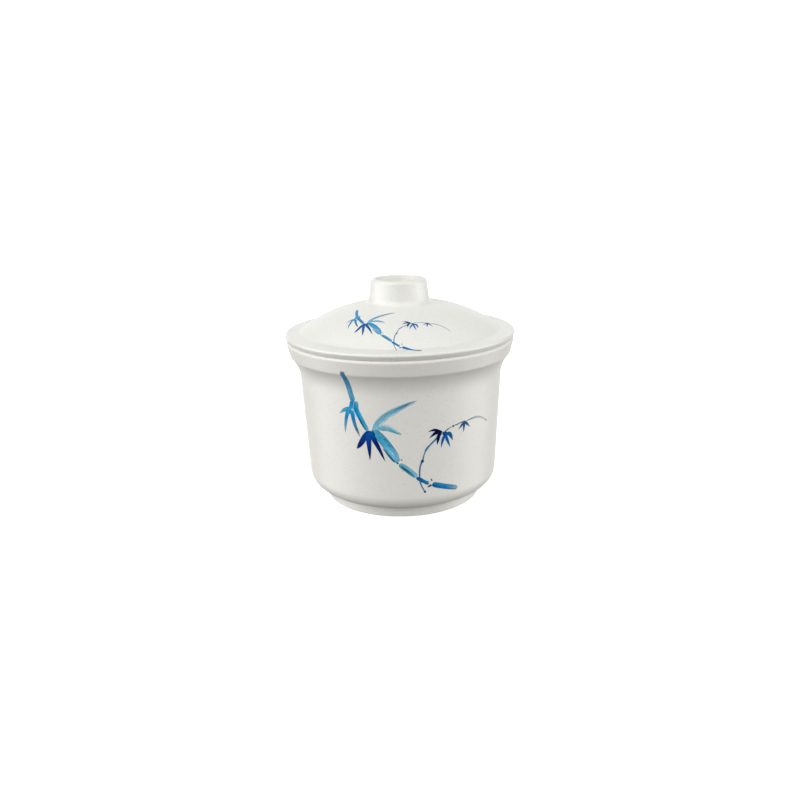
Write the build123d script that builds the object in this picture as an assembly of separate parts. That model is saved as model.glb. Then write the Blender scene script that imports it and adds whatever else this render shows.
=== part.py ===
from build123d import *
import math
import os

# Covered rice bowl, compression moulded in melamine.  Millimetres, +Z up.
# The origin is the centre of the ring that the bowl stands on, and the painted face looks along -Y.
# Outlines are drawn in the XZ plane as (radius, height) and turned once round Z.

# ---- driving dimensions: bowl ----
FOOT_RADIUS = 37.5          # outside of the foot ring
FOOT_RING_WIDTH = 3.4       # foot ring, measured on the ground
FOOT_RECESS = 4.4           # depth of the hollow under the bowl
CREASE_Z = 4.9              # where the foot ring meets the underside
CORNER_RADIUS = 45.2        # side wall, carried down to its corner with the underside
CORNER_Z = 7.1
COVE_RADIUS = 48.1          # side wall, carried up to the cove under the rim
COVE_Z = 65.6
BAND_RADIUS = 52.1          # lower edge of the rim band
BAND_Z = 70.2
RIM_RADIUS = 53.8           # outer edge of the rim
RIM_Z = 77.3                # flat top of the rim, where the lid sits
RIM_WIDTH = 3.4
WALL = 2.8
FLOOR_Z = 8.2

# ---- driving dimensions: lid ----
FLANGE_NOSE_RADIUS = 54.55  # top and edge of the flange, carried to their sharp corner
FLANGE_EDGE_Z = 80.2
FLANGE_SEAT_RADIUS = 53.0   # the edge leans in towards the seat, so the rim of the bowl shows below it
FLANGE_RADIUS = 47.6        # where the flange turns up into the dome
FLANGE_Z = 80.7
DOME_FULLNESS = 38.1        # how far out the dome stays high
DOME_SHOULDER_Z = 89.5
HOLLOW_Z = 91.3             # highest point of the hollow under the dome
HOLLOW_EDGE_Z = 78.0
LOCATING_OUTSIDE = 48.9     # ring under the lid that drops into the mouth of the bowl
LOCATING_INSIDE = 46.2
LOCATING_DEPTH = 3.6

# ---- driving dimensions: knob, moulded in one with the lid ----
KNOB_FOOT_RADIUS = 16.8     # where the dome ends and the fillet round the knob begins
KNOB_FOOT_Z = 92.8
KNOB_BASE_RADIUS = 14.3     # side of the knob, carried down to its corner with the dome
KNOB_CORNER_Z = 93.2
KNOB_TOP_RADIUS = 12.95
KNOB_Z = 104.1
WELL_MOUTH_RADIUS = 10.9    # dished well in the top of the knob
WELL_FLOOR_RADIUS = 9.6
WELL_Z = 95.4

# ---- driving dimensions: printed foils, pressed flush into the surface ----
FOIL = 0.12
TWIG_WIDTH = 0.8
LID_MOTIF_ACROSS = 0.625    # scale of the motif on the lid, across it
LID_MOTIF_DOWN = 0.59       # and down it, where the slope of the dome shortens it as seen from above
LID_MOTIF_TURN = -5.0       # degrees, seen from above
LID_JOINT = (-3.4, -43.2)   # where the motif's base joint lies on the lid, in X and Y
BASE_JOINT = (6.2, 22.4)    # the same joint of the culm on the bowl

# The bamboo, as distance round the wall to the right of the front, and height.
# Each leaf is (root, tip, width) and each joint of the culm is (start, end, width).
LEAVES = [
    ((-22.5, 54.4), (-28.7, 51.9), 2.0),
    ((-24.0, 52.5), (-26.2, 43.1), 1.8),
    ((-22.6, 52.5), (-18.9, 42.3), 2.0),
    ((-15.0, 45.0), (-21.0, 36.1), 3.2),
    ((-14.6, 44.5), (-14.7, 31.3), 2.6),
    ((-13.6, 44.8), (-7.6, 30.7), 2.8),
    ((-13.0, 45.2), (-1.7, 34.4), 2.2),
    ((-12.6, 44.8), (6.1, 58.1), 2.2),
    ((-12.9, 45.0), (-0.7, 43.4), 1.8),
    ((17.0, 43.0), (11.7, 43.9), 1.1),
    ((17.0, 43.0), (12.4, 41.3), 1.1),
    ((16.5, 43.2), (15.5, 37.9), 1.1),
    ((18.8, 42.2), (17.4, 35.9), 1.3),
    ((19.2, 42.2), (21.9, 35.6), 1.3),
    ((19.2, 42.6), (22.9, 38.3), 1.3),
    ((29.1, 46.0), (29.0, 41.3), 1.1),
    ((29.1, 46.0), (26.7, 43.2), 1.0),
    ((29.1, 46.0), (32.3, 42.4), 1.0),
]
CULM_JOINTS = [
    ((-23.1, 71.0), (-21.5, 58.5), 1.8),
    ((-20.6, 56.8), (-16.0, 45.4), 1.8),
    ((-12.3, 44.7), (-2.4, 30.8), 3.6),
    ((-1.7, 30.0), (6.0, 22.6), 2.8),
    ((6.2, 22.2), (11.8, 19.4), 2.0),
    ((13.2, 18.8), (25.4, 14.8), 2.4),
]
TWIG = [(9.7, 15.3), (7.4, 23.3), (8.8, 30.4), (12.2, 37.6), (19.7, 43.1), (29.1, 46.0), (37.0, 45.9), (44.8, 42.5)]


def parallel_corner(before, corner, after, distance):
    """Where the two lines that meet at a corner cross once both have moved left by a distance."""
    first = (Vector(*corner) - Vector(*before)).normalized()
    second = (Vector(*after) - Vector(*corner)).normalized()
    first_left = Vector(-first.Y, first.X)
    second_left = Vector(-second.Y, second.X)
    half_way = (first_left + second_left).normalized()
    moved = Vector(*corner) + half_way * (distance / half_way.dot(first_left))
    return (moved.X, moved.Y)


def turned(lines):
    """Solid turned round Z from lines that close an outline of (radius, height)."""
    return revolve(Plane.XZ * make_face(lines), Axis.Z)


def bowl_blank():
    """The whole bowl, before its foils are let in."""
    corner = (CORNER_RADIUS, CORNER_Z)
    cove = (COVE_RADIUS, COVE_Z)
    band = (BAND_RADIUS, BAND_Z)
    rim = (RIM_RADIUS, RIM_Z)
    foot_inside = FOOT_RADIUS - FOOT_RING_WIDTH
    # each corner with its rounding, from the hollow of the foot up the outside and down the inside
    corners = [
        ((foot_inside - 0.6, FOOT_RECESS), 1.2),
        ((foot_inside, 0), 0.9),
        ((FOOT_RADIUS, 0), 0.9),
        ((FOOT_RADIUS, CREASE_Z), 0.9),
        (corner, 8.0),
        (cove, 15.8),
        (band, 2.0),
        (rim, 1.2),
        ((RIM_RADIUS - RIM_WIDTH, RIM_Z), 0.9),
        (parallel_corner(cove, band, rim, WALL), 4.0),
        (parallel_corner(corner, cove, band, WALL), 12.0),
        ((CORNER_RADIUS - WALL, FLOOR_Z), 9.0),
    ]
    under = (0, FOOT_RECESS)
    floor = (0, FLOOR_Z)
    points = [under] + [point for point, radius in corners] + [floor]
    radii = [radius for point, radius in corners]
    return turned(FilletPolyline(*points, radius=radii) + Line(floor, under))


def dome_line(drop=0.0):
    """Profile of the dome from the flange up to the foot of the knob, lowered by a drop."""
    return Bezier(
        (FLANGE_RADIUS, FLANGE_Z - drop),
        (FLANGE_RADIUS - 1.7, FLANGE_Z - drop - 0.2),
        (DOME_FULLNESS, DOME_SHOULDER_Z - drop),
        (KNOB_FOOT_RADIUS, KNOB_FOOT_Z - drop),
    )


def hollow_line():
    """Profile of the hollow under the dome, from the axis out to the locating ring."""
    return Bezier(
        (0, HOLLOW_Z),
        (DOME_FULLNESS - 5.0, HOLLOW_Z),
        (LOCATING_INSIDE - 2.1, HOLLOW_EDGE_Z - 0.2),
        (LOCATING_INSIDE, HOLLOW_EDGE_Z),
    )


def knob_lines():
    """Fillet round the foot of the knob, then up its side, over its lip and down into the well."""
    corner = Vector(KNOB_BASE_RADIUS, KNOB_CORNER_Z)
    lip = Vector(KNOB_TOP_RADIUS, KNOB_Z)
    side_start = corner + (lip - corner) * 0.22
    foot = Bezier((KNOB_FOOT_RADIUS, KNOB_FOOT_Z), corner, side_start)
    side = FilletPolyline(
        side_start,
        lip,
        (WELL_MOUTH_RADIUS, KNOB_Z),
        (WELL_FLOOR_RADIUS, WELL_Z),
        (0, WELL_Z),
        radius=[1.7, 0.5, 3.0],
    )
    return foot + side


def lid_blank():
    """Flange, locating ring, dome and knob in one moulding, before its foils are let in."""
    locating_z = RIM_Z - LOCATING_DEPTH
    rim_side = FilletPolyline(
        (FLANGE_RADIUS, FLANGE_Z),
        (FLANGE_NOSE_RADIUS, FLANGE_EDGE_Z),
        (FLANGE_SEAT_RADIUS, RIM_Z),
        (LOCATING_OUTSIDE, RIM_Z),
        (LOCATING_OUTSIDE, locating_z),
        (LOCATING_INSIDE, locating_z),
        (LOCATING_INSIDE, HOLLOW_EDGE_Z),
        radius=[1.0, 0.5, 0.4, 0.8, 0.8],
    )
    crown = Line((0, WELL_Z), (0, HOLLOW_Z))
    return turned(rim_side + dome_line() + knob_lines() + crown + hollow_line())


def leaf(root, tip, width):
    """Pointed leaf between two shallow arcs."""
    along = Vector(*tip) - Vector(*root)
    across = Vector(-along.Y, along.X).normalized() * (width / 2)
    middle = Vector(*root) + along * 0.4
    edges = ThreePointArc(root, middle + across, tip) + ThreePointArc(tip, middle - across, root)
    return make_face(edges)


def culm_joint(start, end, width):
    """Straight joint of the culm, a little narrower at its end."""
    along = Vector(*end) - Vector(*start)
    across = Vector(-along.Y, along.X).normalized() * (width / 2)
    first = Vector(*start)
    last = Vector(*end)
    return make_face(Polyline(first + across, last + across * 0.9, last - across * 0.9, first - across, close=True))


def motif(place, scale):
    """Outlines of the painted bamboo, each point put in its place and each width scaled."""
    shapes = [leaf(place(root), place(tip), width * scale) for root, tip, width in LEAVES]
    shapes += [culm_joint(place(start), place(end), width * scale) for start, end, width in CULM_JOINTS]
    shapes.append(trace(Polyline(*[place(point) for point in TWIG]), line_width=TWIG_WIDTH * scale))
    return Sketch() + shapes


def on_bowl(point):
    """Front view of a point on the unrolled wall."""
    around, height = point
    radius = (CORNER_RADIUS + COVE_RADIUS) / 2
    return (radius * math.sin(around / radius), height)


def on_lid(point):
    """Top view of a point of the motif on the lid."""
    turn = math.radians(LID_MOTIF_TURN)
    right = (point[0] - BASE_JOINT[0]) * LID_MOTIF_ACROSS
    away = (point[1] - BASE_JOINT[1]) * LID_MOTIF_DOWN
    x = LID_JOINT[0] + right * math.cos(turn) - away * math.sin(turn)
    y = LID_JOINT[1] + right * math.sin(turn) + away * math.cos(turn)
    return (x, y)


def bowl_decal():
    """Printed foil in the outer skin of the bowl's wall."""
    wall = FilletPolyline(
        (FOOT_RADIUS, CREASE_Z),
        (CORNER_RADIUS, CORNER_Z),
        (COVE_RADIUS, COVE_Z),
        (BAND_RADIUS, BAND_Z),
        (RIM_RADIUS, RIM_Z),
        radius=[8.0, 15.8, 2.0],
    )
    behind = wall.moved(Location((-FOIL, 0, 0)))
    skin = turned(wall + behind + Line(wall @ 0, behind @ 0) + Line(wall @ 1, behind @ 1))
    outline = extrude(Plane.XZ * motif(on_bowl, 1.0), amount=RIM_RADIUS)
    return skin & outline


def lid_decal():
    """Printed foil in the top skin of the lid's dome."""
    top = dome_line()
    behind = dome_line(FOIL)
    skin = turned(top + behind + Line(top @ 0, behind @ 0) + Line(top @ 1, behind @ 1))
    outline = extrude(Plane.XY * motif(on_lid, LID_MOTIF_DOWN), amount=KNOB_Z)
    return skin & outline


def main():
    foil_on_bowl = bowl_decal()
    foil_on_lid = lid_decal()
    nodes = {
        "bowl": bowl_blank() - foil_on_bowl,
        "lid": lid_blank() - foil_on_lid,
        "bowl_decal": foil_on_bowl,
        "lid_decal": foil_on_lid,
    }
    os.makedirs("parts", exist_ok=True)
    for name, shape in nodes.items():
        export_step(shape, f"parts/{name}.step")
        print(name, "solids", len(shape.solids()), "mm3", round(shape.volume))


main()
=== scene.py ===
import math
from collections import namedtuple

import bpy
import numpy as np
from mathutils import Matrix, Vector


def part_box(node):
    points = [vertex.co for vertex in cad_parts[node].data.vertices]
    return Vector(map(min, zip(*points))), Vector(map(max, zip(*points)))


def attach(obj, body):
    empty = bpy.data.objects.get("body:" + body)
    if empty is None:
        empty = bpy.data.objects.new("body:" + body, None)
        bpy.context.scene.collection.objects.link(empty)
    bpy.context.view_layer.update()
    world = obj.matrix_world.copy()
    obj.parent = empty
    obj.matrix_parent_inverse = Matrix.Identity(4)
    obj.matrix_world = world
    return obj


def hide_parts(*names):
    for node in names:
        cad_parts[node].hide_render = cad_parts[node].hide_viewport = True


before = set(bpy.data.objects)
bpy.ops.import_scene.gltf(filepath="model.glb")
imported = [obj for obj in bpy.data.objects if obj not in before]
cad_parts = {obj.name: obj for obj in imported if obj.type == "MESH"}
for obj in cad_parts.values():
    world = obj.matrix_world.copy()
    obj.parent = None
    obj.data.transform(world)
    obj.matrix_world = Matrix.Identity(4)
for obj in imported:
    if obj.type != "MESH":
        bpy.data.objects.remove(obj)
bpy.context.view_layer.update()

# Covered rice bowl in moulded melamine, painted with a blue bamboo branch.
# Profiles and the painting are written in millimetres and turned into metres when a mesh is made.
MM = 0.001
RIM_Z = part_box("bowl")[1].z / MM
KNOB_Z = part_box("lid")[1].z / MM

# ------------------------------------------------------------------ profiles

ARC_STEP = math.radians(5)
SUPPORT = 0.4               # mm from each end of a straight to the point that keeps it flat
SAME_POINT = 0.01           # mm, neighbours closer than this become one point
SEGMENTS = 288

# Bowl: sharp corners as (radius, height, rounding), from under the foot up the outside and down
# the inside.
FOOT_RADIUS = 37.5
FOOT_RECESS = 4.4
FLOOR_Z = 8.2
FOOT = (FOOT_RADIUS, 4.9)
WALL_FOOT = (45.2, 7.1)
WALL_COVE = (48.1, 65.6)
BAND = (52.1, 70.2)
RIM_RADIUS = 53.8
OUTSIDE = [
    (*FOOT, 0.9),
    (*WALL_FOOT, 8.0),
    (*WALL_COVE, 15.8),
    (*BAND, 2.0),
    (RIM_RADIUS, RIM_Z, 1.2),
]
FOOT_UNDERSIDE = [
    (0, FOOT_RECESS, 0),
    (33.5, FOOT_RECESS, 1.2),
    (34.1, 0, 0.9),
    (FOOT_RADIUS, 0, 0.9),
]
INSIDE = [
    (50.4, RIM_Z, 0.9),
    (49.54, 71.52, 4.0),
    (45.35, 66.71, 12.0),
    (42.4, FLOOR_Z, 9.0),
    (0, FLOOR_Z, 0),
]

# Lid: the dome and the hollow under it are Bezier curves, the rest is rounded corners.
HOLLOW_Z = 91.3
WELL_Z = 95.4
LOCATING_INSIDE = 46.2      # ring under the lid that drops into the mouth of the bowl
LOCATING_OUTSIDE = 48.9
LOCATING_Z = 73.7
DOME = [(47.6, 80.7), (45.9, 80.5), (38.1, 89.5), (16.8, 92.8)]
HOLLOW = [(0, HOLLOW_Z), (33.1, HOLLOW_Z), (44.1, 77.8), (LOCATING_INSIDE, 78.0)]
KNOB_CORNER = (14.3, 93.2)
KNOB_LIP = (12.95, KNOB_Z)
WELL = [(*KNOB_LIP, 1.7), (10.9, KNOB_Z, 0.5), (9.6, WELL_Z, 3.0), (0, WELL_Z, 0)]
FLANGE = [
    (*HOLLOW[-1], 0),
    (LOCATING_INSIDE, LOCATING_Z, 0.8),
    (LOCATING_OUTSIDE, LOCATING_Z, 0.8),
    (LOCATING_OUTSIDE, RIM_Z, 0.4),
    (53.0, RIM_Z, 0.5),
    (54.54, 80.2, 1.0),
    (*DOME[0], 0),
]
FILLET_SHARE = 0.22         # share of the knob's side that the fillet at its foot takes up
FILLET_STEPS = 16
DOME_STEPS = 40
HOLLOW_STEPS = 44


def arc(corners, index):
    """Points of the arc that replaces one corner, or the corner itself where it stays sharp."""
    r, z, radius = corners[index]
    corner = Vector((r, z))
    if index in (0, len(corners) - 1) or radius == 0:
        return [corner]
    back = (Vector(corners[index - 1][:2]) - corner).normalized()
    ahead = (Vector(corners[index + 1][:2]) - corner).normalized()
    turn = math.pi - back.angle(ahead)
    centre = corner + (back + ahead).normalized() * (radius / math.cos(turn / 2))
    start = corner + back * (radius * math.tan(turn / 2)) - centre
    side = 1 if back.cross(ahead) < 0 else -1
    steps = max(3, math.ceil(turn / ARC_STEP))
    points = []
    for step in range(steps + 1):
        angle = side * turn * step / steps
        cos, sin = math.cos(angle), math.sin(angle)
        points.append(centre + Vector((start.x * cos - start.y * sin, start.x * sin + start.y * cos)))
    return points


def rounded(corners):
    """Points along corners rounded to arcs, with a support point close to both ends of each straight."""
    arcs = [arc(corners, index) for index in range(len(corners))]
    points = []
    for this, following in zip(arcs, arcs[1:]):
        points += this
        gap = following[0] - this[-1]
        support = min(SUPPORT, gap.length / 3)
        points.append(this[-1] + gap.normalized() * support)
        points.append(following[0] - gap.normalized() * support)
    return points + arcs[-1]


def bezier(controls, count):
    """Points along a Bezier curve with three or four controls."""
    order = len(controls) - 1
    points = []
    for step in range(count + 1):
        t = step / count
        total = Vector((0.0, 0.0))
        for index, control in enumerate(controls):
            total += Vector(control) * (math.comb(order, index) * (1 - t) ** (order - index) * t ** index)
        points.append(total)
    return points


def without_repeats(points):
    """The same points, less those that nearly repeat the one before."""
    kept = [points[0]]
    for point in points[1:]:
        if (point - kept[-1]).length > SAME_POINT:
            kept.append(point)
    return kept


def bowl_profile():
    return without_repeats(rounded(FOOT_UNDERSIDE + OUTSIDE + INSIDE))


def lid_profile():
    side_start = Vector(KNOB_CORNER).lerp(Vector(KNOB_LIP), FILLET_SHARE)
    knob_foot = bezier([DOME[-1], KNOB_CORNER, side_start], FILLET_STEPS)
    knob = rounded([(*side_start, 0)] + WELL)
    outside = rounded(FLANGE) + bezier(DOME, DOME_STEPS) + knob_foot + knob
    return without_repeats(bezier(HOLLOW, HOLLOW_STEPS) + outside)


def turned(name, profile):
    """Closed mesh turned round Z from a profile that starts and ends on the axis."""
    angles = [2 * math.pi * step / SEGMENTS for step in range(SEGMENTS)]
    rings = profile[1:-1]
    vertices = [(p.x * math.sin(a), -p.x * math.cos(a), p.y) for p in rings for a in angles]
    first_pole = len(vertices)
    last_pole = first_pole + 1
    vertices += [(0, 0, profile[0].y), (0, 0, profile[-1].y)]
    faces = []
    for ring in range(len(rings) - 1):
        low = ring * SEGMENTS
        for step in range(SEGMENTS):
            nxt = (step + 1) % SEGMENTS
            faces.append((low + step, low + nxt, low + SEGMENTS + nxt, low + SEGMENTS + step))
    top = (len(rings) - 1) * SEGMENTS
    for step in range(SEGMENTS):
        nxt = (step + 1) % SEGMENTS
        faces.append((nxt, step, first_pole))
        faces.append((top + step, top + nxt, last_pole))
    return new_piece(name, vertices, faces)


def new_piece(name, vertices, faces):
    """Smooth-shaded object from vertices in millimetres."""
    mesh = bpy.data.meshes.new(name)
    mesh.from_pydata([Vector(v) * MM for v in vertices], [], faces)
    mesh.polygons.foreach_set("use_smooth", [True] * len(mesh.polygons))
    mesh.update()
    piece = bpy.data.objects.new(name, mesh)
    bpy.context.scene.collection.objects.link(piece)
    return piece


# ------------------------------------------------------------------ surfaces that are painted on

WALL_RADIUS = 47.0          # distances round the wall are measured at this radius
LID_SCALE = (0.625, 0.59)   # across and down the lid; the slope shortens the second
LID_TURN = math.radians(-5)
LID_JOINT = Vector((-3.4, -43.2))   # where the branch's base joint lies on the lid, in X and Y
BASE_JOINT = Vector((6.2, 22.4))    # the same joint on the wall, as (round the wall, height)

wall_corners = [(*FOOT, 0)] + OUTSIDE[1:-1] + [(RIM_RADIUS, RIM_Z, 0)]
wall_line = np.array([point[:] for point in rounded(wall_corners)])
dome_line = np.array([point[:] for point in bezier(DOME, 2 * DOME_STEPS)])[::-1]
wall_slope = np.gradient(wall_line[:, 0], wall_line[:, 1])
dome_slope = np.gradient(dome_line[:, 1], dome_line[:, 0])


def on_wall(around, height, lift):
    """A point of the painting on the bowl, lifted off the wall."""
    radius = np.interp(height, wall_line[:, 1], wall_line[:, 0])
    slope = np.interp(height, wall_line[:, 1], wall_slope)
    steep = math.hypot(1, slope)
    radius += lift / steep
    angle = around / WALL_RADIUS
    return (radius * math.sin(angle), -radius * math.cos(angle), height - lift * slope / steep)


def on_dome(around, height, lift):
    """The same point of the smaller painting on the lid."""
    offset = (Vector((around, height)) - BASE_JOINT) * Vector(LID_SCALE)
    cos, sin = math.cos(LID_TURN), math.sin(LID_TURN)
    x = LID_JOINT.x + offset.x * cos - offset.y * sin
    y = LID_JOINT.y + offset.x * sin + offset.y * cos
    radius = math.hypot(x, y)
    z = np.interp(radius, dome_line[:, 0], dome_line[:, 1])
    slope = np.interp(radius, dome_line[:, 0], dome_slope)
    steep = math.hypot(1, slope)
    outward = -slope / steep * lift
    return (x * (1 + outward / radius), y * (1 + outward / radius), z + lift / steep)


# ------------------------------------------------------------------ the painted bamboo

# Inks as they look on the lit wall, in 0-255 screen values.
INKS = {
    "indigo": (0, 22, 60),
    "navy": (0, 38, 102),
    "royal": (0, 56, 132),
    "cobalt": (0, 86, 158),
    "marine": (6, 84, 134),
    "azure": (8, 116, 174),
    "cerulean": (38, 146, 190),
    "sky": (80, 166, 204),
    "mist": (128, 188, 214),
    "pale": (176, 212, 226),
    "teal": (44, 140, 158),
    "deep_teal": (14, 96, 122),
    "steel": (82, 142, 174),
    "haze": (106, 158, 178),
    "dusk": (54, 118, 156),
    "slate": (76, 106, 130),
    "smoke": (146, 164, 168),
    "ash": (180, 191, 193),
    "soot": (36, 58, 78),
}

# One brush stroke: paint layer, inks along it, inks at its left and right edges as it travels, how
# far its start and end fade in mm, how dense it is, and its path as (round the wall, height, width).
Stroke = namedtuple("Stroke", "layer inks left right fade density path")


def stroke(layer, inks, path, left=None, right=None, fade=(0.2, 0.4), density=1.0):
    return Stroke(layer, inks.split(), left, right, fade, density, path)


CULM = [
    stroke(1, "dusk dusk steel dusk", left="steel", right="steel", fade=(1.6, 0.3), path=[
        (-23.2, 72.3, 2.2), (-23.0, 69.4, 2.5), (-22.7, 65.2, 2.8), (-22.2, 61.4, 2.7),
        (-21.5, 58.6, 2.7), (-21.3, 57.2, 2.2)]),
    stroke(1, "azure cerulean", path=[
        (-21.8, 57.8, 2.0), (-22.1, 56.4, 1.8), (-22.5, 55.0, 2.0), (-22.8, 53.8, 2.2)]),
    stroke(0, "sky sky", path=[(-21.7, 57.2, 1.2), (-20.8, 56.9, 1.8), (-19.8, 56.8, 1.2)]),
    stroke(0, "sky mist pale", path=[
        (-21.5, 56.8, 0.8), (-21.2, 54.6, 1.4), (-20.8, 52.6, 1.5), (-20.2, 50.6, 0.8)]),
    stroke(1, "haze azure cerulean teal steel", left="sky", right="azure", path=[
        (-19.3, 57.9, 1.0), (-19.8, 56.2, 2.3), (-19.9, 54.2, 2.6), (-18.9, 51.8, 2.5),
        (-17.8, 49.6, 2.4), (-16.5, 47.0, 2.3), (-15.1, 44.6, 2.0)]),
    stroke(2, "azure azure marine dusk", path=[
        (-20.6, 55.6, 0.4), (-20.6, 53.9, 0.8), (-19.7, 51.6, 0.9), (-18.5, 49.2, 0.9),
        (-17.2, 46.7, 0.8), (-16.2, 44.8, 0.4)]),
    stroke(0, "sky cerulean sky mist sky", right="steel", left="steel", fade=(0.2, 0.3), path=[
        (-12.4, 44.9, 2.4), (-10.8, 43.3, 3.8), (-8.5, 40.4, 4.0), (-6.6, 37.5, 3.9), (-4.7, 34.7, 3.6),
        (-2.9, 31.8, 3.1), (-2.0, 30.3, 2.8)]),
    stroke(2, "marine deep_teal marine", path=[
        (-8.6, 36.8, 0.3), (-6.5, 33.9, 0.8), (-4.7, 31.6, 0.9), (-3.4, 30.2, 0.4)]),
    stroke(2, "deep_teal marine", path=[(-3.0, 30.5, 0.4), (-2.4, 29.9, 0.9), (-1.7, 29.5, 0.4)]),
    stroke(1, "steel haze haze mist", left="mist", right="teal", path=[
        (-1.7, 29.5, 1.9), (0.1, 28.1, 2.8), (1.9, 26.7, 3.0), (3.5, 25.3, 2.9), (5.1, 23.9, 2.6),
        (6.3, 22.8, 1.9)]),
    stroke(2, "deep_teal deep_teal teal", path=[
        (-0.9, 28.5, 0.4), (0.8, 27.0, 0.9), (2.3, 25.8, 0.9), (4.2, 24.2, 0.7), (5.4, 23.2, 0.3)]),
    stroke(2, "marine marine azure cerulean", path=[
        (5.8, 22.6, 1.2), (7.4, 21.8, 2.0), (9.2, 20.6, 1.8), (10.7, 20.1, 1.2), (11.9, 20.2, 0.6)]),
    stroke(2, "marine azure", path=[(9.4, 19.9, 0.8), (11.0, 19.2, 1.1), (12.0, 19.5, 0.5)]),
    stroke(1, "marine azure azure steel smoke", left="steel", right="marine", fade=(0.1, 1.6), path=[
        (13.2, 18.8, 2.4), (15.4, 18.0, 2.8), (18.5, 17.0, 2.8), (22.0, 15.9, 2.7), (25.0, 15.0, 2.4),
        (26.8, 14.6, 1.5)]),
    stroke(3, "soot slate", path=[(12.6, 21.5, 0.5), (13.0, 20.8, 0.7), (13.3, 20.1, 0.4)]),
    stroke(3, "slate soot slate", path=[(10.9, 17.4, 0.4), (12.3, 18.1, 1.1), (13.4, 18.4, 0.4)]),
    stroke(2, "smoke slate", density=0.7, path=[
        (-1.1, 31.9, 0.4), (-0.5, 31.3, 0.6), (-0.1, 30.9, 0.3)]),
]

UPPER_LEAVES = [
    stroke(2, "cerulean cerulean azure", path=[
        (-25.2, 52.6, 1.4), (-23.4, 52.9, 2.6), (-21.8, 52.4, 1.6)]),
    stroke(2, "cerulean cerulean steel smoke", path=[
        (-22.5, 54.0, 1.6), (-24.3, 53.7, 2.2), (-26.4, 52.8, 1.6), (-28.9, 50.9, 0.1)]),
    stroke(2, "cerulean azure steel smoke", path=[
        (-23.8, 53.2, 2.2), (-24.7, 51.2, 1.9), (-25.5, 48.4, 1.6), (-26.0, 45.6, 1.3),
        (-26.3, 42.3, 0.2)]),
    stroke(2, "cerulean azure dusk slate smoke", path=[
        (-22.7, 53.4, 2.0), (-22.0, 51.7, 2.2), (-21.6, 49.2, 2.0), (-20.9, 46.3, 1.7),
        (-19.9, 43.7, 1.3), (-18.9, 41.3, 0.2)]),
    stroke(0, "pale pale pale", density=0.5, path=[
        (-12.4, 45.6, 2.0), (-9.8, 49.0, 3.6), (-6.4, 52.0, 3.8), (-2.9, 54.2, 3.4), (1.6, 56.4, 2.4),
        (5.6, 58.0, 1.0)]),
    stroke(1, "mist haze haze steel slate smoke", left="haze", right="mist", path=[
        (-12.8, 44.6, 1.2), (-11.4, 47.2, 2.0), (-9.4, 49.7, 2.3), (-6.3, 52.3, 2.3), (-2.9, 54.3, 2.0),
        (0.6, 56.1, 1.6), (3.9, 57.6, 1.1), (6.6, 58.4, 0.2)]),
    stroke(0, "pale pale pale", density=0.5, path=[
        (-11.2, 45.8, 1.8), (-8.8, 46.4, 3.2), (-5.8, 46.2, 3.2), (-2.6, 44.6, 2.0),
        (-0.2, 43.2, 0.6)]),
    stroke(1, "mist haze haze teal smoke", left="mist", right="haze", path=[
        (-11.8, 45.6, 0.9), (-9.6, 46.1, 1.7), (-7.0, 46.1, 2.1), (-4.4, 45.2, 1.7), (-2.2, 44.0, 0.9),
        (-0.2, 43.1, 0.2)]),
    stroke(1, "teal steel teal steel haze mist", left="steel", right="sky", path=[
        (-11.6, 45.2, 1.2), (-9.2, 43.0, 1.8), (-7.0, 40.6, 1.9), (-5.1, 37.9, 1.9), (-3.4, 35.4, 1.7),
        (-2.3, 33.3, 1.3), (-1.6, 31.6, 0.4)]),
    stroke(2, "deep_teal teal", path=[(-13.1, 45.3, 0.5), (-12.7, 44.6, 1.2), (-12.2, 43.9, 0.5)]),
    stroke(2, "deep_teal teal", path=[(-8.2, 41.4, 0.4), (-7.6, 40.9, 0.7), (-7.0, 40.3, 0.4)]),
    stroke(2, "teal teal", path=[(-6.3, 39.0, 0.5), (-5.7, 38.3, 1.1), (-5.2, 37.6, 0.5)]),
    stroke(3, "navy cobalt royal", path=[(-16.9, 42.6, 1.2), (-14.7, 43.6, 2.6), (-11.7, 43.0, 1.6)]),
    stroke(3, "royal royal navy navy", path=[
        (-15.0, 44.2, 2.0), (-16.7, 41.6, 2.9), (-18.4, 38.9, 2.7), (-19.8, 37.0, 1.8),
        (-20.9, 35.5, 0.1)]),
    stroke(3, "cobalt royal navy indigo", path=[
        (-14.9, 43.8, 2.4), (-14.9, 40.6, 2.6), (-14.9, 37.6, 2.3), (-14.8, 34.0, 1.4),
        (-14.8, 30.7, 0.1)]),
    stroke(3, "cobalt navy navy indigo", path=[
        (-14.1, 43.9, 2.2), (-12.7, 41.3, 2.6), (-11.4, 38.7, 2.3), (-10.2, 36.2, 1.8),
        (-9.0, 33.4, 1.1), (-7.8, 30.6, 0.1)]),
]

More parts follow.
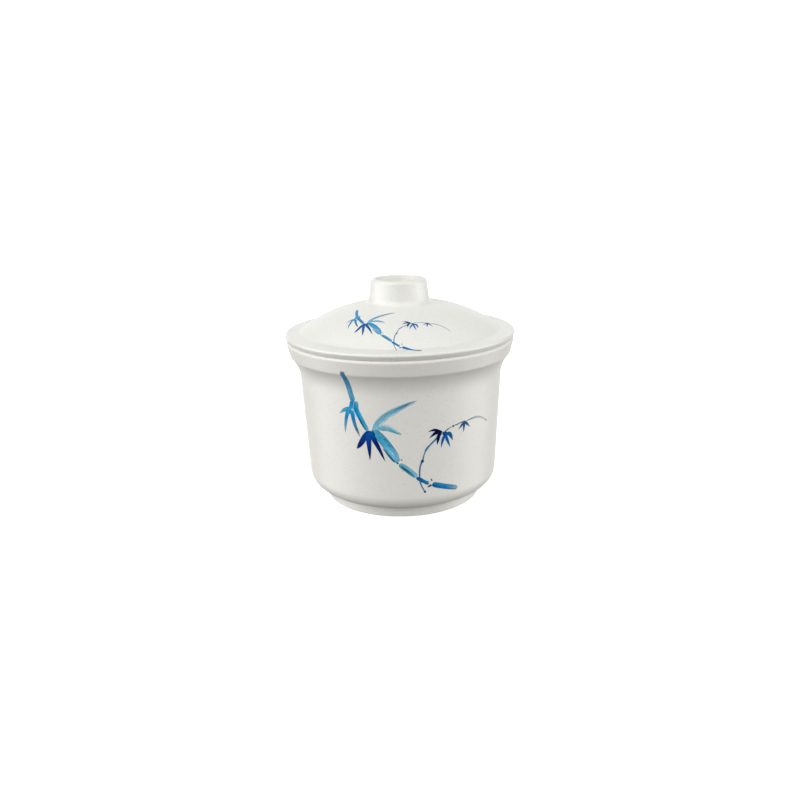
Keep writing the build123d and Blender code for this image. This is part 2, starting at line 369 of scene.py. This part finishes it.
TWIG = [
    stroke(2, "soot slate", path=[(10.4, 15.0, 0.5), (9.9, 15.4, 1.2), (9.4, 16.1, 0.6)]),
    stroke(2, "slate dusk cobalt slate slate", path=[
        (9.6, 15.8, 0.6), (8.4, 18.2, 0.6), (7.6, 20.6, 0.7), (7.4, 23.4, 0.7), (7.5, 26.2, 0.8),
        (7.9, 28.6, 0.8), (8.7, 30.3, 0.9)]),
    stroke(3, "deep_teal deep_teal", path=[(8.2, 29.4, 0.8), (8.7, 30.3, 1.6), (9.1, 31.3, 0.7)]),
    stroke(2, "slate dusk dusk dusk", path=[
        (8.9, 30.8, 0.7), (9.3, 32.6, 0.6), (9.9, 34.4, 0.6), (10.6, 35.8, 1.1), (12.2, 37.6, 0.8),
        (14.1, 39.3, 0.9), (16.2, 41.4, 0.8)]),
    stroke(2, "slate smoke", density=0.85, path=[
        (19.0, 42.8, 0.7), (20.2, 43.6, 0.7), (21.4, 44.3, 0.6), (22.6, 44.7, 0.5)]),
    stroke(3, "soot slate", path=[(22.9, 45.3, 0.6), (23.3, 44.8, 1.2), (23.8, 44.4, 0.6)]),
    stroke(2, "slate slate", density=0.8, path=[
        (23.8, 45.0, 0.5), (25.3, 45.2, 0.7), (26.9, 45.6, 0.6), (28.9, 46.0, 0.6)]),
    stroke(2, "steel smoke ash ash", fade=(0.4, 2.5), density=0.85, path=[
        (30.0, 45.8, 0.4), (31.6, 46.0, 0.6), (34.0, 46.2, 0.9), (36.5, 46.2, 1.0), (39.0, 45.7, 0.9),
        (42.0, 44.3, 0.9), (44.6, 42.7, 0.8), (45.8, 41.8, 0.4)]),
]

TWIG_LEAVES = [
    stroke(4, "indigo indigo navy", path=[
        (18.0, 42.7, 0.9), (16.0, 43.7, 1.5), (14.0, 44.4, 1.3), (11.2, 43.9, 0.1)]),
    stroke(4, "indigo indigo marine", path=[
        (17.2, 43.0, 1.2), (14.8, 42.9, 1.7), (13.4, 42.0, 1.1), (11.8, 40.8, 0.1)]),
    stroke(4, "indigo indigo navy", path=[
        (17.6, 42.6, 1.2), (16.3, 41.6, 1.9), (15.9, 39.6, 1.5), (15.5, 37.2, 0.1)]),
    stroke(3, "royal cobalt", path=[(17.8, 42.7, 1.2), (19.4, 41.8, 2.5), (20.4, 40.7, 1.8)]),
    stroke(3, "cobalt cobalt azure", path=[
        (18.9, 41.2, 1.5), (18.2, 39.2, 1.5), (17.7, 37.4, 0.9), (17.4, 35.4, 0.1)]),
    stroke(3, "cobalt cobalt azure", path=[
        (19.6, 41.0, 1.5), (20.4, 38.9, 1.5), (21.2, 37.0, 0.9), (22.1, 35.1, 0.1)]),
    stroke(3, "cobalt marine dusk", path=[
        (19.7, 41.7, 1.4), (21.3, 41.7, 2.0), (22.3, 40.2, 1.6), (23.2, 38.0, 0.1)]),
    stroke(3, "soot marine marine", path=[
        (29.3, 46.4, 0.7), (29.2, 44.6, 1.6), (29.1, 43.0, 1.1), (28.9, 40.8, 0.1)]),
    stroke(3, "soot marine dusk", path=[
        (29.3, 45.9, 0.9), (28.0, 44.6, 1.3), (27.1, 43.6, 0.8), (26.0, 42.5, 0.1)]),
    stroke(3, "soot marine dusk", path=[
        (29.3, 45.9, 0.9), (30.7, 44.6, 1.3), (31.7, 43.6, 0.8), (32.9, 42.4, 0.1)]),
]

PAINTING = CULM + UPPER_LEAVES + TWIG + TWIG_LEAVES

STATION = 0.45              # mm between stations along a stroke
FEWEST_SPACES = 6           # between stations, on the shortest stroke
PATH_STEPS = 12             # steps of the curve between two points of a path
ACROSS = 10                 # spaces across a stroke
THINNEST = 0.04             # mm, least width of a stroke
TIP_SHARE = 0.02            # least distance from a blunt end, as a share of half the width
LEAST_HALF = 0.001          # mm, keeps a stroke's pointed tip from dividing by nothing
SOFT_EDGE = 0.22            # share of half the width over which an edge fades
EDGE_POWER = 1.5            # the higher, the closer an edge's ink keeps to the edge
DARKEST_INK = 0.001
SHARP_TURN = 0.5            # cosine of the turn past which an edge between faces is sharp
FIRST_LIFT = 0.02           # mm between the paint and the surface under it
LAYER_LIFT = 0.012          # mm from one layer to the next
STROKE_LIFT = 0.0004        # mm from one stroke to the next
ROOT_DEPTH = 0.05           # mm that each stroke reaches into the surface
GLOSS_LIGHT = 0.004         # light that the painting's gloss adds


def linear(ink):
    """How an ink looks, in linear light."""
    def channel(value):
        value /= 255
        return value / 12.92 if value <= 0.04045 else ((value + 0.055) / 1.055) ** 2.4
    return np.array([channel(value) for value in INKS[ink]])


def smooth_path(path):
    """Even stations along a Catmull-Rom curve through the points of a path."""
    points = np.array(path, float)
    points = np.vstack([2 * points[0] - points[1], points, 2 * points[-1] - points[-2]])
    dense = []
    for a, b, c, d in zip(points, points[1:], points[2:], points[3:]):
        for t in np.arange(0, 1, 1 / PATH_STEPS):
            dense.append(0.5 * (2 * b + (c - a) * t + (2 * a - 5 * b + 4 * c - d) * t ** 2
                                + (3 * b - a - 3 * c + d) * t ** 3))
    dense.append(points[-2])
    dense = np.array(dense)
    along = np.concatenate([[0], np.cumsum(np.hypot(*np.diff(dense[:, :2], axis=0).T))])
    count = max(FEWEST_SPACES, round(along[-1] / STATION))
    at = np.linspace(0, along[-1], count + 1)
    return at, np.column_stack([np.interp(at, along, column) for column in dense.T])


def blunt(at, widths):
    """Widths with both ends rounded off over half a width."""
    distance = np.minimum(at, at[-1] - at)
    half = np.maximum(widths / 2, LEAST_HALF)
    share = np.clip(distance / half, TIP_SHARE, 1)
    return widths * np.sqrt(1 - (1 - share) ** 2)


def ink_at(mark, along, across):
    """Ink at a share of the stroke's length and across it, from -1 at its right edge to 1 at its left."""
    inks = [linear(ink) for ink in mark.inks]
    place = along * (len(inks) - 1)
    index = min(int(place), len(inks) - 2)
    middle = inks[index] + (inks[index + 1] - inks[index]) * (place - index)
    edge = mark.left if across > 0 else mark.right
    if edge is None:
        return middle
    return middle + (linear(edge) - middle) * abs(across) ** EDGE_POWER


def brush(mark, lift, place, spread):
    """Vertices, faces and paint of one stroke: a thin closed slab that follows the surface under it."""
    at, stations = smooth_path(mark.path)
    heading = np.gradient(stations[:, :2], axis=0)
    heading /= np.linalg.norm(heading, axis=1)[:, None]
    widths = np.maximum(blunt(at, stations[:, 2] * spread), THINNEST)
    vertices, paint = [], []
    for level in (lift, -ROOT_DEPTH):
        for index, (u, v, _) in enumerate(stations):
            from_end = min(at[index] / mark.fade[0], (at[-1] - at[index]) / mark.fade[1], 1)
            for step in range(ACROSS + 1):
                across = 2 * step / ACROSS - 1
                reach = across * widths[index] / 2
                right, up = heading[index]
                vertices.append(place(u - up * reach, v + right * reach, level))
                soft = min(1, (1 - abs(across)) / SOFT_EDGE)
                cover = mark.density * soft * from_end
                paint.append((*ink_at(mark, at[index] / at[-1], across), cover, at[index], reach))
    return vertices, slab_faces(len(stations), ACROSS + 1), paint


def slab_faces(rows, columns):
    """Faces of a closed slab whose top grid comes first and whose bottom grid follows."""
    under = rows * columns
    faces = []
    for row in range(rows - 1):
        for column in range(columns - 1):
            a = row * columns + column
            quad = (a, a + 1, a + columns + 1, a + columns)
            faces.append(quad[::-1])
            faces.append(tuple(under + corner for corner in quad))
    border = list(range(columns))
    border += [row * columns + columns - 1 for row in range(1, rows)]
    border += [(rows - 1) * columns + column for column in range(columns - 2, -1, -1)]
    border += [row * columns for row in range(rows - 2, 0, -1)]
    for a, b in zip(border, border[1:] + border[:1]):
        faces.append((a, b, under + b, under + a))
    return faces


def painted(name, place, light, spread, wash):
    """All strokes of the painting on one surface, as one piece with its paint stored on its points.

    An ink's own colour is how it looks, less the surface's gloss, over the light that falls on that
    surface. Spread scales the widths of the strokes, and wash is the share of azure in every ink.
    """
    vertices, faces, paint = [], [], []
    for index, mark in enumerate(PAINTING):
        lift = FIRST_LIFT + LAYER_LIFT * mark.layer + STROKE_LIFT * index
        new_vertices, new_faces, new_paint = brush(mark, lift, place, spread)
        base = len(vertices)
        vertices += new_vertices
        faces += [tuple(base + corner for corner in face) for face in new_faces]
        paint += new_paint
    piece = new_piece(name, vertices, faces)
    mesh = piece.data
    columns = np.array(paint)
    columns[:, :3] += (linear("azure") - columns[:, :3]) * wash
    columns[:, :3] = np.maximum(DARKEST_INK, (columns[:, :3] - GLOSS_LIGHT) / light)
    ink = mesh.attributes.new("ink", "FLOAT_COLOR", "POINT")
    ink.data.foreach_set("color", np.column_stack([columns[:, :3], np.ones(len(columns))]).ravel())
    for attribute, column in (("cover", 3), ("along", 4), ("across", 5)):
        values = mesh.attributes.new(attribute, "FLOAT", "POINT")
        values.data.foreach_set("value", columns[:, column])
    sharpen_borders(mesh)
    return piece


def sharpen_borders(mesh):
    """Keeps a slab's top flat up to its edge, where it turns down by a right angle."""
    normals = [polygon.normal.copy() for polygon in mesh.polygons]
    sides = {}
    for polygon in mesh.polygons:
        for key in polygon.edge_keys:
            sides.setdefault(key, []).append(normals[polygon.index])
    for edge in mesh.edges:
        pair = sides[edge.key]
        edge.use_edge_sharp = len(pair) == 2 and pair[0].dot(pair[1]) < SHARP_TURN


# ------------------------------------------------------------------ materials

# Darkest and lightest tone of each moulding. The lid's tones are cooler and a little greener than the
# bowl's: painted cool light from above, on what is the same melamine.
BOWL_TONES = ((0.705, 0.69, 0.645), (0.735, 0.725, 0.68))
LID_TONES_WITH_PAINTED_COOL_LIGHT = ((0.705, 0.702, 0.66), (0.733, 0.732, 0.692))
MELAMINE_IOR = 1.5
SMOOTHEST = 0.31            # range of the melamine's roughness
ROUGHEST = 0.37

# Specks in the melamine: how many to a metre, the share of places that hold one, radius as a share of
# their spacing, how strongly they show, tint, and a number that sets each kind's pattern apart.
Speck = namedtuple("Speck", "scale share radius depth tint seed")
SPECKS = [
    Speck(2100.0, 0.30, 0.42, 0.28, (0.42, 0.40, 0.37, 1), 0.31),
    Speck(1150.0, 0.14, 0.32, 0.40, (0.38, 0.36, 0.34, 1), 0.57),
    Speck(560.0, 0.10, 0.16, 0.50, (0.34, 0.30, 0.26, 1), 0.83),
]
SMALLEST_SPECK = 0.4        # share of the full radius
SPECK_OUTSIDE = 1.15        # where a speck's soft edge starts and ends, as shares of its radius
SPECK_INSIDE = 0.75


def node(tree, kind, inputs=None, **settings):
    """New shader node with its settings, and its inputs linked from sockets or set to values."""
    made = tree.nodes.new(kind)
    for key, value in settings.items():
        setattr(made, key, value)
    for key, value in (inputs or {}).items():
        if isinstance(value, bpy.types.NodeSocket):
            tree.links.new(value, made.inputs[key])
        else:
            made.inputs[key].default_value = value
    return made


def maths(tree, operation, *values):
    """Result of one operation on sockets or numbers."""
    return node(tree, "ShaderNodeMath", dict(enumerate(values)), operation=operation).outputs[0]


def remapped(tree, value, low, high, new_low, new_high, blend="LINEAR"):
    """A value carried from one range to another, and held inside the second."""
    limits = {0: value, 1: low, 2: high, 3: new_low, 4: new_high}
    return node(tree, "ShaderNodeMapRange", limits, interpolation_type=blend).outputs[0]


def mix_colour(tree, share, first, second):
    """Two colours mixed. A Mix node keeps its colours in sockets 6 and 7, and the result in socket 2."""
    mixed = node(tree, "ShaderNodeMix", {0: share, 6: first, 7: second}, data_type="RGBA")
    return mixed.outputs[2]


def speck_mask(tree, place, kind):
    """Mask of round specks: cells of a Voronoi pattern, of which a share hold a speck."""
    offset = (kind.seed, kind.seed * 2.0, kind.seed * 3.0)
    moved = node(tree, "ShaderNodeVectorMath", {0: place, 1: offset}, operation="ADD").outputs[0]
    cells = node(tree, "ShaderNodeTexVoronoi", {"Vector": moved, "Scale": kind.scale}, feature="F1")
    chosen = node(tree, "ShaderNodeSeparateColor", {0: cells.outputs["Color"]})
    holds = maths(tree, "LESS_THAN", chosen.outputs[0], kind.share)
    size = maths(tree, "MULTIPLY_ADD", chosen.outputs[1], 1 - SMALLEST_SPECK, SMALLEST_SPECK)
    edge = maths(tree, "MULTIPLY", size, kind.radius)
    ratio = maths(tree, "DIVIDE", cells.outputs["Distance"], edge)
    inside = remapped(tree, ratio, SPECK_OUTSIDE, SPECK_INSIDE, 0.0, 1.0)
    return maths(tree, "MULTIPLY", holds, inside)


def melamine_colour(tree, place, dark, light):
    """Off-white clouded between two tones, with fine grey and brown specks."""
    settings = {"Vector": place, "Scale": 160.0, "Detail": 4.0, "Roughness": 0.6}
    cloud = node(tree, "ShaderNodeTexNoise", settings)
    colour = mix_colour(tree, cloud.outputs["Fac"], (*dark, 1), (*light, 1))
    for kind in SPECKS:
        faint = maths(tree, "MULTIPLY", speck_mask(tree, place, kind), kind.depth)
        colour = mix_colour(tree, faint, colour, kind.tint)
    return colour


def melamine_gloss(tree, place):
    """Roughness and the slight orange peel of a moulded surface."""
    wear = node(tree, "ShaderNodeTexNoise", {"Vector": place, "Scale": 90.0, "Detail": 3.0})
    rough = remapped(tree, wear.outputs["Fac"], 0.3, 0.7, SMOOTHEST, ROUGHEST)
    peel = node(tree, "ShaderNodeTexNoise", {"Vector": place, "Scale": 420.0, "Detail": 2.0})
    relief = {"Height": peel.outputs["Fac"], "Strength": 0.1, "Distance": 0.00004}
    return rough, node(tree, "ShaderNodeBump", relief).outputs[0]


def melamine(name, shine, tones=None):
    """Moulded melamine between two tones, or the paint under its skin where no tones are given."""
    material = bpy.data.materials.new(name)
    material.use_nodes = True
    tree = material.node_tree
    shader = tree.nodes["Principled BSDF"]
    place = node(tree, "ShaderNodeTexCoord").outputs["Object"]
    if tones:
        colour = melamine_colour(tree, place, *tones)
    else:
        colour, cover = brushed_ink(tree)
        tree.links.new(cover, shader.inputs["Alpha"])
    rough, bump = melamine_gloss(tree, place)
    tree.links.new(colour, shader.inputs["Base Color"])
    tree.links.new(rough, shader.inputs["Roughness"])
    tree.links.new(bump, shader.inputs["Normal"])
    shader.inputs["IOR"].default_value = MELAMINE_IOR
    shader.inputs["Specular IOR Level"].default_value = shine
    return material


def brushed_ink(tree):
    """Colour of brushed ink, in streaks along the stroke, and how much it covers what lies under it."""
    along = node(tree, "ShaderNodeAttribute", attribute_name="along").outputs["Fac"]
    across = node(tree, "ShaderNodeAttribute", attribute_name="across").outputs["Fac"]
    cover = node(tree, "ShaderNodeAttribute", attribute_name="cover").outputs["Fac"]
    ink = node(tree, "ShaderNodeAttribute", attribute_name="ink").outputs["Color"]
    grain = node(tree, "ShaderNodeCombineXYZ", {0: along, 1: across})
    grain = grain.outputs[0]
    stretch = node(tree, "ShaderNodeVectorMath", {0: grain, 1: (0.25, 4.0, 1.0)}, operation="MULTIPLY")
    streak = node(tree, "ShaderNodeTexNoise", {"Vector": stretch.outputs[0], "Scale": 1.0, "Detail": 3.0})
    pool = node(tree, "ShaderNodeTexNoise", {"Vector": grain, "Scale": 0.8, "Detail": 2.0})
    dry = remapped(tree, streak.outputs["Fac"], 0.35, 0.65, 0.8, 1.25)
    wet = remapped(tree, pool.outputs["Fac"], 0.35, 0.65, 1.12, 0.88)
    tone = maths(tree, "MULTIPLY", dry, wet)
    shade = node(tree, "ShaderNodeVectorMath", {0: ink, "Scale": tone}, operation="SCALE")
    return shade.outputs[0], cover


def plain(name, colour, roughness, glow):
    """Plain material for the backdrop, a little brighter than its light alone would make it."""
    material = bpy.data.materials.new(name)
    material.use_nodes = True
    shader = material.node_tree.nodes["Principled BSDF"]
    shader.inputs["Base Color"].default_value = (*colour, 1)
    shader.inputs["Roughness"].default_value = roughness
    shader.inputs["Specular IOR Level"].default_value = 0
    shader.inputs["Emission Color"].default_value = (1, 1, 1, 1)
    shader.inputs["Emission Strength"].default_value = glow
    return material


# ------------------------------------------------------------------ studio

CAMERA_DISTANCE = 0.3859
CAMERA_ELEVATION = math.radians(17.27)
CAMERA_ROLL = math.radians(1.34)
CAMERA_TARGET = Vector((0, 0, 0.0405))
CAMERA_LENS = 35.53         # mm
CAMERA_SENSOR = 36          # mm across
CAMERA_SHIFT = (-0.002, 0.0106)
CAMERA_NEAREST = 0.01


def camera():
    """Camera a little above the object, looking down at its painted face."""
    data = bpy.data.cameras.new("camera")
    data.lens = CAMERA_LENS
    data.sensor_width = CAMERA_SENSOR
    data.shift_x, data.shift_y = CAMERA_SHIFT
    data.clip_start = CAMERA_NEAREST
    piece = bpy.data.objects.new("camera", data)
    bpy.context.scene.collection.objects.link(piece)
    back = Vector((0, -math.cos(CAMERA_ELEVATION), math.sin(CAMERA_ELEVATION)))
    piece.location = CAMERA_TARGET + back * CAMERA_DISTANCE
    level = (-back).to_track_quat("-Z", "Y").to_matrix().to_4x4()
    piece.rotation_euler = (level @ Matrix.Rotation(-CAMERA_ROLL, 4, "Z")).to_euler()
    bpy.context.scene.camera = piece


BACKDROP_RADIUS = 3000      # mm
BACKDROP_SWEEP = 900        # mm, radius of the curve from the floor up to the wall
BACKDROP_HEIGHT = 2600      # mm
BACKDROP_STEPS = 96         # round the object
SWEEP_STEPS = 12            # up the curve


def backdrop():
    """Pale floor that sweeps up into a round wall. It shows behind the object and takes its shadow."""
    steps = BACKDROP_STEPS
    outline = [(BACKDROP_RADIUS - BACKDROP_SWEEP, 0)]
    for step in range(1, SWEEP_STEPS + 1):
        angle = math.radians(90 * step / SWEEP_STEPS)
        radius = BACKDROP_RADIUS - BACKDROP_SWEEP * (1 - math.sin(angle))
        outline.append((radius, BACKDROP_SWEEP * (1 - math.cos(angle))))
    outline.append((BACKDROP_RADIUS, BACKDROP_HEIGHT))
    vertices = [(0, 0, 0)]
    for radius, height in outline:
        for step in range(steps):
            angle = 2 * math.pi * step / steps
            vertices.append((radius * math.sin(angle), -radius * math.cos(angle), height))
    faces = [(0, 1 + step, 1 + (step + 1) % steps) for step in range(steps)]
    for ring in range(len(outline) - 1):
        low = 1 + ring * steps
        for step in range(steps):
            nxt = (step + 1) % steps
            faces.append((low + step, low + steps + step, low + steps + nxt, low + nxt))
    piece = new_piece("backdrop", vertices, faces)
    piece.data.materials.append(plain("backdrop", (0.8, 0.8, 0.8), 0.9, glow=0.6))
    piece.visible_diffuse = False
    piece.visible_glossy = False
    piece.visible_shadow = False


# Soft lights of the room: direction from the object as (degrees round from the front, degrees up),
# how many degrees out from its middle each one fades to nothing, and its level.
SoftLight = namedtuple("SoftLight", "around up spread level")
LIGHTS = [
    SoftLight(-58, 32, 48, 2.65),
    SoftLight(58, 32, 48, 1.75),
    SoftLight(0, 32, 36, 0.6),
    SoftLight(-90, -12, 34, 2.3),
    SoftLight(90, -12, 34, 2.95),
    SoftLight(180, 45, 60, 0.5),
    SoftLight(180, -12, 50, 0.9),
    SoftLight(0, -90, 75, 0.12),
    SoftLight(0, 90, 40, 0.1),
]
CORE_SHARE = 0.3            # share of a light's spread that has its full level
ROOM_LIGHT = 0.01           # light between the soft lights


def direction(around, up):
    """Unit vector from the object, from degrees round from the front and degrees up."""
    around, up = math.radians(around), math.radians(up)
    return Vector((math.sin(around) * math.cos(up), -math.cos(around) * math.cos(up), math.sin(up)))


def sky(lights, room_light):
    """Room of soft-edged lights at a great distance, on top of an even light from all round."""
    world = bpy.data.worlds.new("studio")
    bpy.context.scene.world = world
    world.use_nodes = True
    tree = world.node_tree
    seen = node(tree, "ShaderNodeTexCoord").outputs["Generated"]
    total = room_light
    for light in lights:
        aim = direction(light.around, light.up)
        toward = node(tree, "ShaderNodeVectorMath", {0: seen, 1: aim}, operation="DOT_PRODUCT")
        edge = math.cos(math.radians(light.spread))
        core = math.cos(math.radians(light.spread * CORE_SHARE))
        lobe = remapped(tree, toward.outputs["Value"], edge, core, 0.0, light.level, blend="SMOOTHSTEP")
        total = maths(tree, "ADD", lobe, total)
    background = tree.nodes["Background"]
    background.inputs["Color"].default_value = (1, 1, 1, 1)
    tree.links.new(total, background.inputs["Strength"])


# ------------------------------------------------------------------ assembly

camera()
sky(LIGHTS, ROOM_LIGHT)
backdrop()

bowl_melamine = melamine("bowl_melamine", shine=0.2, tones=BOWL_TONES)
# The lid's copy of the melamine carries painted cool light from above in its tones.
lid_melamine = melamine("lid_melamine", shine=0.55, tones=LID_TONES_WITH_PAINTED_COOL_LIGHT)
print_ink = melamine("print_ink", shine=0.1)

bowl = turned("bowl_moulding", bowl_profile())
lid = turned("lid_moulding", lid_profile())
bowl_print = painted("bowl_painting", on_wall, light=0.95, spread=1, wash=0)
lid_print = painted("lid_painting", on_dome, light=1.0, spread=0.8, wash=0.35)

for piece, body, replaced, slot, material in (
    (bowl, "bowl", "bowl", "melamine", bowl_melamine),
    (bowl_print, "bowl", "bowl_decal", "bamboo_print", print_ink),
    (lid, "lid", "lid", "melamine", lid_melamine),
    (lid_print, "lid", "lid_decal", "bamboo_print", print_ink),
):
    piece.data.materials.append(material)
    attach(piece, body)
    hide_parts(replaced)

bpy.context.scene.view_settings.view_transform = "Standard"
